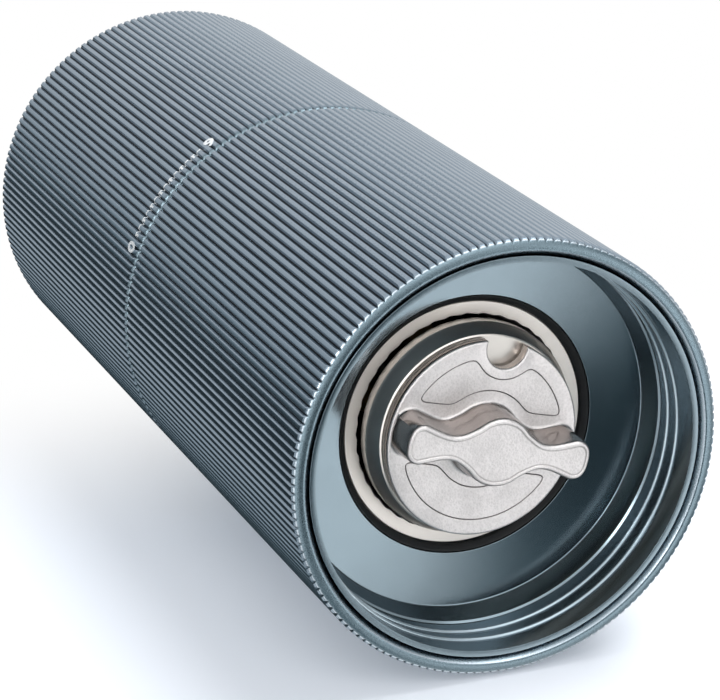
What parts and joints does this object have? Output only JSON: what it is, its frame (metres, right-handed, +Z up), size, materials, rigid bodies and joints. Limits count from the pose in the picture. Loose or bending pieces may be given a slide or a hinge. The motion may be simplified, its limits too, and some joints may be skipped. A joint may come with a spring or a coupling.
{
  "type": "hand crank coffee grinder",
  "caption": "Slim cylindrical hand coffee grinder with finely ribbed sleeves, a conical burr behind an open threaded skirt, a turning grind dial and a lift-off crank on top.",
  "frame": {"origin": "centre of the open lower rim, in the plane it stands on", "axes": "+Z up along the drive shaft, +Y along the crank arm at rest"},
  "size_m": [0.054, 0.1517, 0.1771],
  "materials": {
    "anodised_slate": "fine-blasted, anodised",
    "burr_steel": "ground and polished",
    "cast_steel": "cast and blasted",
    "shaft_steel": "ground",
    "spring_steel": "blackened",
    "black_nylon": "moulded",
    "hopper_plastic": "moulded",
    "bronze": "sintered",
    "rubber": "moulded",
    "walnut": "turned and oiled"
  },
  "bodies": {
    "housing": {"lower_sleeve": "anodised_slate", "burr_barrel": "anodised_slate", "ring_burr": "burr_steel", "burr_retaining_ring": "black_nylon", "burr_bridge": "anodised_slate", "bridge_bush": "bronze", "hopper_tube": "hopper_plastic", "top_collar": "anodised_slate", "detent_ring": "shaft_steel", "dial_seal": "rubber"},
    "dial": {"upper_sleeve": "anodised_slate", "plunger_bodies": "spring_steel", "plunger_balls": "shaft_steel"},
    "carriage": {"bearing_carriage": "anodised_slate", "bearing_outer_ring": "shaft_steel", "bearing_shields": "rubber", "wave_washer": "spring_steel", "bearing_clip": "spring_steel"},
    "rotor": {"drive_shaft": "shaft_steel", "inner_burr": "burr_steel", "drive_pin": "shaft_steel", "shaft_clips": "spring_steel", "bearing_inner_ring": "shaft_steel"},
    "burr_cap": {"wing_knob": "cast_steel"},
    "crank": {"crank_lid": "anodised_slate", "lid_seal": "rubber", "hub_socket": "shaft_steel", "crank_arm": "anodised_slate", "hub_screw": "shaft_steel", "knob_spindle": "shaft_steel", "spindle_nut": "shaft_steel"},
    "knob": {"crank_knob": "walnut", "knob_bushes": "black_nylon", "knob_cap": "walnut"}
  },
  "joints": [
    {"name": "dial_turn", "type": "hinge", "parent": "housing", "child": "dial", "pos_m": [0, 0, 0.0626], "axis": [0, 0, 1], "range_deg": [-150, 150]},
    {"name": "burr_lift", "type": "slide", "parent": "housing", "child": "carriage", "axis": [0, 0, 1], "range_m": [-0.00042, 0.00042]},
    {"name": "crank_turn", "type": "hinge", "parent": "carriage", "child": "rotor", "pos_m": [0, 0, 0.105], "axis": [0, 0, 1], "continuous": true},
    {"name": "wing_turn", "type": "hinge", "parent": "rotor", "child": "burr_cap", "pos_m": [0, 0, 0.0078], "axis": [0, 0, 1], "range_deg": [0, 90]},
    {"name": "crank_lift", "type": "slide", "parent": "rotor", "child": "crank", "axis": [0, 0, 1], "range_m": [0, 0.03]},
    {"name": "knob_spin", "type": "hinge", "parent": "crank", "child": "knob", "pos_m": [0, 0.11, 0.14], "axis": [0, 0, 1], "continuous": true}
  ],
  "couplings": [
    {"joint": "burr_lift", "follows": "dial_turn", "m_per_rad": -0.00015915}
  ]
}
